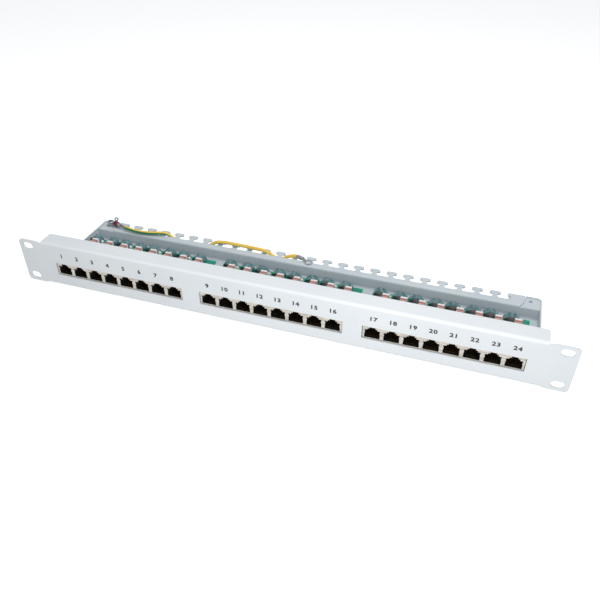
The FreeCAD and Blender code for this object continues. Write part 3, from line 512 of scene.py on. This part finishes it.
def make_camera():
    """A camera above the front right, turned a little to the left and well down."""
    turn, down, roll = -0.31566, 0.64548, 0.00319
    ahead = Vector((math.sin(turn) * math.cos(down), math.cos(turn) * math.cos(down),
                    -math.sin(down)))
    right = ahead.cross(Vector((0, 0, 1))).normalized()
    up = right.cross(ahead)
    side = right * math.cos(roll) + up * math.sin(roll)
    top = up * math.cos(roll) - right * math.sin(roll)
    data = bpy.data.cameras.new("camera")
    data.sensor_width = 36
    data.lens = 37.89
    data.clip_start, data.clip_end = 0.01, 20
    camera = bpy.data.objects.new("camera", data)
    axes = Matrix((side, top, -ahead)).transposed()
    camera.matrix_world = Matrix.Translation(at(153.835, -386.557, 343.901)) @ axes.to_4x4()
    bpy.context.scene.collection.objects.link(camera)
    bpy.context.scene.camera = camera


def make_lamp(name, place, size, watts):
    """A soft white square lamp aimed at the middle of the panel."""
    data = bpy.data.lights.new(name, "AREA")
    data.size = size
    data.energy = watts
    lamp = bpy.data.objects.new(name, data)
    lamp.location = place
    lamp.rotation_euler = (Vector((0.02, 0.03, 0)) - lamp.location).to_track_quat(
        "-Z", "Y").to_euler()
    bpy.context.scene.collection.objects.link(lamp)


def make_studio():
    """A pale floor under the panel, an even pale sky, a front lamp and an overhead one."""
    deselect()
    bpy.ops.mesh.primitive_plane_add(size=6, location=(0, 0, cad_box[0].z - 0.0005))
    floor = bpy.context.object
    floor.name = "floor"
    settle(floor)
    floor.data.materials.append(floor_paper())
    floor.visible_diffuse = False
    world = bpy.data.worlds.new("studio")
    world.use_nodes = True
    sky = world.node_tree.nodes["Background"]
    sky.inputs["Color"].default_value = linear("f8fbff")
    sky.inputs["Strength"].default_value = 0.44
    bpy.context.scene.world = world
    make_lamp("front lamp", (0.14, -0.42, 0.20), size=0.28, watts=1.55)
    make_lamp("overhead lamp", (0.08, 0.22, 0.85), size=0.45, watts=3.1)
    bpy.context.scene.view_settings.view_transform = "Standard"


# ---------------------------------------------------------------- earth lead

# The lead's control points in mm. Its sheath starts by the bare strands, lies over three
# tabs, passes down and up through the gaps, and ends in the free lug.
LEAD_ROUTE = [
    (-189.1, 87.7, 16.3),
    (-181.0, 85.6, 16.1),
    (-171.5, 85.2, 15.6),
    (-161.5, 85.9, 15.6),
    (-152.0, 88.2, 16.0),
    (-143.6, 91.7, 15.7),
    (-136.2, 92.6, 9.5),
    (-126.5, 91.9, 8.3),
    (-116.0, 91.3, 7.9),
    (-106.0, 91.4, 8.3),
    (-97.2, 91.9, 9.6),
    (-89.8, 92.2, 15.4),
    (-80.5, 92.9, 16.4),
    (-69.5, 93.5, 15.8),
    (-58.0, 93.2, 15.8),
    (-46.5, 91.9, 16.3),
    (-35.4, 91.5, 15.9),
    (-28.8, 91.9, 9.9),
    (-20.2, 92.3, 9.6),
    (-13.4, 93.2, 14.6),
    (-6.3, 92.65, 15.5),
]
LEAD_DIAMETER = 3.4
STRIPE_TURNS = -0.4
STRIPE_START = 0.3
LEAD_YELLOW, LEAD_GREEN = "f9cf58", "1f9158"
YELLOW_SHARE = 0.57


def make_lead():
    """The free earth lead, a smooth curve along its route."""
    curve = bpy.data.curves.new("striped_lead", "CURVE")
    curve.dimensions = "3D"
    curve.bevel_depth = LEAD_DIAMETER / 2 * MM
    curve.bevel_resolution = 6
    curve.resolution_u = 8
    curve.use_fill_caps = True
    line = curve.splines.new("NURBS")
    line.points.add(len(LEAD_ROUTE) - 1)
    for point, place in zip(line.points, LEAD_ROUTE):
        point.co = (*at(*place), 1)
    line.order_u = 3
    line.use_endpoint_u = True
    lead = bpy.data.objects.new("striped_lead", curve)
    bpy.context.scene.collection.objects.link(lead)
    finish_piece(lead, lead_vinyl(), ["earth_lead"])
    return lead


# ---------------------------------------------------------------- punch-down blocks

def make_tooth(front, rear):
    """One tooth of a tower: a plain foot, a shoulder, and a roof that guides the wire."""
    half = TOWER_WIDTH / 2
    shoulder_rise, roof_rise = 1.1, 0.7
    neck = TOWER_TOP - shoulder_rise - roof_rise
    tooth = block((-half, front, SLOT_BOTTOM - 0.3), (half, rear, neck))
    middle = at(0, (front + rear) / 2, neck)
    pick_faces(tooth, looks_up)
    raise_and_shrink((0, 0, shoulder_rise), (1, 0.9, 1), middle)
    # The roof narrows to about half; the long rear tooth's stays broader.
    ridge = 0.5 if rear - front < 3 else 0.85
    raise_and_shrink((0, 0, roof_rise), (0.94, ridge, 1), middle)
    close_edit()
    return tooth


def make_tower():
    """A punch-down tower at X = 0, with eight slots."""
    half = TOWER_WIDTH / 2
    foot = block((-half, TOWER_FRONT, BOARD_TOP), (half, TOWER_REAR, SLOT_BOTTOM))
    pick_faces(foot, lambda centre, normal: abs(normal.x) > 0.9)
    bpy.ops.mesh.inset(thickness=0.7 * MM, use_individual=True)
    middle = at(0, (TOWER_FRONT + TOWER_REAR) / 2, BOARD_TOP)
    bpy.ops.transform.resize(value=(0.93, 1, 1), center_override=middle)
    close_edit()
    parts = [foot, make_tooth(TOWER_FRONT, FIRST_SLOT_Y)]
    first = FIRST_SLOT_Y + SLOT
    middle_tooth = make_tooth(first, first + TOOTH_PITCH - SLOT)
    parts.append(middle_tooth)
    parts += [twin(middle_tooth, y=i * TOOTH_PITCH) for i in range(1, 7)]
    parts.append(make_tooth(first + 7 * TOOTH_PITCH, TOWER_REAR))
    return join(parts, "tower")


SPLITTER_OFFSET = -5.3
SPLITTER_Y = 57.6
SPLITTER_RADIUS = 1.75
SPLITTER_SHAFT = 3.7
SPLITTER_POINT = 1.5


def make_splitter():
    """The four-sided pointed post that parts the cables behind a twin moulding, at X = 0."""
    place = (0, SPLITTER_Y, BOARD_TOP)
    post = rod(place, SPLITTER_RADIUS, SPLITTER_SHAFT, 4)
    middle = at(*place)
    pick_faces(post, looks_up)
    raise_and_shrink((0, 0, 0), (1.02, 1.02, 1), middle)
    raise_and_shrink((0, 0, SPLITTER_POINT), (0.15, 0.15, 1), middle)
    close_edit()
    return post


def make_wiring_blocks():
    """Four twin mouldings behind each gang, in place of the plain ones."""
    tower = make_tower()
    splitter = make_splitter()
    half = (PORT_PITCH + TOWER_WIDTH) / 2
    base = block((-half, TOWER_FRONT, BOARD_TOP), (half, TOWER_REAR, BOARD_TOP + BASE_HEIGHT))
    soften(base, 0.25)
    material = marked_plastic()
    for gang in range(GANGS):
        parts = []
        for pair in range(PORTS_PER_GANG // 2):
            left = port_x(gang, 2 * pair) + TOWER_OFFSET
            middle = port_x(gang, 2 * pair + 0.5)
            parts.append(twin(tower, x=left))
            parts.append(twin(tower, x=left + PORT_PITCH))
            parts.append(twin(base, x=left + PORT_PITCH / 2))
            parts.append(twin(splitter, x=middle + SPLITTER_OFFSET))
        piece = join(parts, f"punch_down_blocks_{gang + 1}")
        finish_piece(piece, material, [f"wiring_blocks_{gang + 1}"])
    for blank in (tower, splitter, base):
        bpy.data.objects.remove(blank)


# ---------------------------------------------------------------- dark liners under the saddles, painted shade

SADDLE_OFFSETS = (-6.0, -4.6)
LINER_FRONT, LINER_REAR = 58.4, 63.4
LINER_INSIDE, LINER_OUTSIDE = 4.3, 5.85
LINER_CENTRE = BOARD_TOP + 0.35
LINER_FOOT = BOARD_TOP + 0.05
PAD_HALF_WIDTH, PAD_REAR, PAD_TOP = 4.2, 65.3, BOARD_TOP + 0.5


def make_shade_liner():
    """A dark liner for a saddle at X = 0, painted shade: a half ring that lines it and a pad
    below it.
    """
    shade_liner = block((LINER_INSIDE, LINER_FRONT, LINER_FOOT), (LINER_OUTSIDE, LINER_REAR, LINER_CENTRE))
    pick_faces(shade_liner, looks_up)
    bpy.ops.mesh.spin(
        steps=10,
        angle=-math.pi,
        center=at(0, 0, LINER_CENTRE),
        axis=(0, 1, 0),
    )
    bpy.ops.mesh.select_all(action="SELECT")
    bpy.ops.mesh.normals_make_consistent(inside=False)
    close_edit()
    pad = block((-PAD_HALF_WIDTH, LINER_FRONT, LINER_FOOT), (PAD_HALF_WIDTH, PAD_REAR, PAD_TOP))
    soften(pad, 0.15)
    return join([shade_liner, pad], "shade_liner")


def make_shade_liners():
    """One dark liner, painted shade, under each saddle of the three gangs."""
    blank = make_shade_liner()
    # The liners' dark brownish grey is painted shade under the saddles.
    shade_liner_finish = dark_liner_painted_shade()
    for gang in range(GANGS):
        places = [port_x(gang, port) + SADDLE_OFFSETS[port % 2] for port in range(PORTS_PER_GANG)]
        piece = join([twin(blank, x=x) for x in places], f"saddle_shade_liners_{gang + 1}")
        finish_piece(piece, shade_liner_finish)
    bpy.data.objects.remove(blank)


# ---------------------------------------------------------------- corner returns

LEDGE_HALF_WIDTH = 203.8
TRAY_HALF_WIDTH = 217.9
RETURN_INNER, RETURN_OUTER = LEDGE_HALF_WIDTH + 0.7, TRAY_HALF_WIDTH - 1.3
WALL_FRONT, WALL_REAR, WALL_BOTTOM = 82.55, 83.7, 7.8
CORNER_TAB_FRONT = 84.6
CORNER_REAR = 97.3
SHELF_REACH = 14
SHELF_BOTTOM, SHELF_TOP = 10.95, 12.0


def make_corner_returns(material):
    """The folded strips that close the tray's rear corners below and beside the corner tabs."""
    upstand = block((RETURN_INNER, WALL_FRONT, WALL_BOTTOM),
                    (RETURN_OUTER, WALL_REAR, SHELF_TOP + 0.05))
    lip = block((RETURN_INNER, WALL_REAR - 0.1, SHELF_BOTTOM),
                (RETURN_OUTER, CORNER_TAB_FRONT + 0.1, SHELF_TOP + 0.05))
    shelf = block((LEDGE_HALF_WIDTH - SHELF_REACH, WALL_REAR + 0.1, SHELF_BOTTOM),
                  (RETURN_INNER, CORNER_REAR, SHELF_TOP))
    parts = [upstand, lip, shelf]
    for part in list(parts):
        other = twin(part)
        other.data.transform(Matrix.Diagonal((-1, 1, 1, 1)))
        other.data.flip_normals()
        parts.append(other)
    for part in parts:
        soften(part, 0.1)
    finish_piece(join(parts, "corner_returns"), material)


# ---------------------------------------------------------------- printing

NUMBER_HEIGHT = 3.7
NUMBER_BASE = 31.2
INK_THICKNESS = 0.01
NUMBER_WIDEN = 1.14
STROKE_GROWTH = 0.22
CAPITAL_SHARE = 0.7


def make_port_numbers():
    """The port numbers, printed above the sockets."""
    parts = []
    for gang in range(GANGS):
        for port in range(PORTS_PER_GANG):
            deselect()
            bpy.ops.object.text_add(
                location=at(port_x(gang, port), -INK_THICKNESS, NUMBER_BASE),
                rotation=(math.pi / 2, 0, 0),
            )
            text = bpy.context.object
            text.data.body = str(gang * PORTS_PER_GANG + port + 1)
            text.data.align_x = "CENTER"
            text.data.size = NUMBER_HEIGHT * MM / CAPITAL_SHARE
            text.data.space_character = 1.15
            text.data.offset = STROKE_GROWTH * MM
            text.data.resolution_u = 3
            bpy.ops.object.convert(target="MESH")
            text.data.transform(Matrix.Diagonal((NUMBER_WIDEN, 1, 1, 1)))
            settle(text)
            parts.append(text)
    piece = join(parts, "port_numbers")
    finish_piece(piece, printed_ink())


# ---------------------------------------------------------------- finishes on the CAD pieces

def coat_nodes(shaded_tray_coat):
    """Give every node that stays its own finish."""
    coat = powder_coat("powder_coat", "e2e7e9", "e8ecee")
    zinc, nickel = zinc_plate(), nickel_plate()
    tin, gold, mask, black = tin_plate(), gold_plate(), solder_mask(), black_plastic()
    # The saddles' teal tin colour is a painted reflection of the green board.
    saddle_reflection_tin = tin_with_painted_reflection()
    finishes = {
        "front_panel": coat,
        # The tray's darker, bluer coat is painted shade.
        "rear_tray": shaded_tray_coat,
        "tray_rivets": zinc,
        "board_standoffs": zinc,
        "board_screws": zinc,
        "corner_nuts": zinc,
        "earth_screw": zinc,
        "star_washer": zinc,
        "earth_tag": tin,
        "earth_lug": tin,
        "free_lug": tin,
        "bare_strands": tinned_strands(),
        "lug_sleeve": red_sleeve(),
    }
    for gang in range(1, GANGS + 1):
        finishes[f"circuit_board_{gang}"] = mask
        finishes[f"jack_shield_{gang}"] = nickel
        finishes[f"jack_housing_{gang}"] = black
        finishes[f"wiring_blades_{gang}"] = tin
        finishes[f"shield_saddles_{gang}"] = saddle_reflection_tin
    for port in range(1, GANGS * PORTS_PER_GANG + 1):
        finishes[f"contact_springs_{port:02d}"] = gold
    for name, material in finishes.items():
        nodes[name].data.materials.clear()
        nodes[name].data.materials.append(material)


make_camera()
make_studio()
make_lead()
make_wiring_blocks()
make_shade_liners()
make_port_numbers()
# A darker, bluer copy of the powder coat for the tray and its corner returns: painted shade for
# the tray's interior.
shaded_coat = powder_coat("tray_powder_coat_painted_shade", "ccd5da", "d3dbdf")
coat_nodes(shaded_coat)
make_corner_returns(shaded_coat)
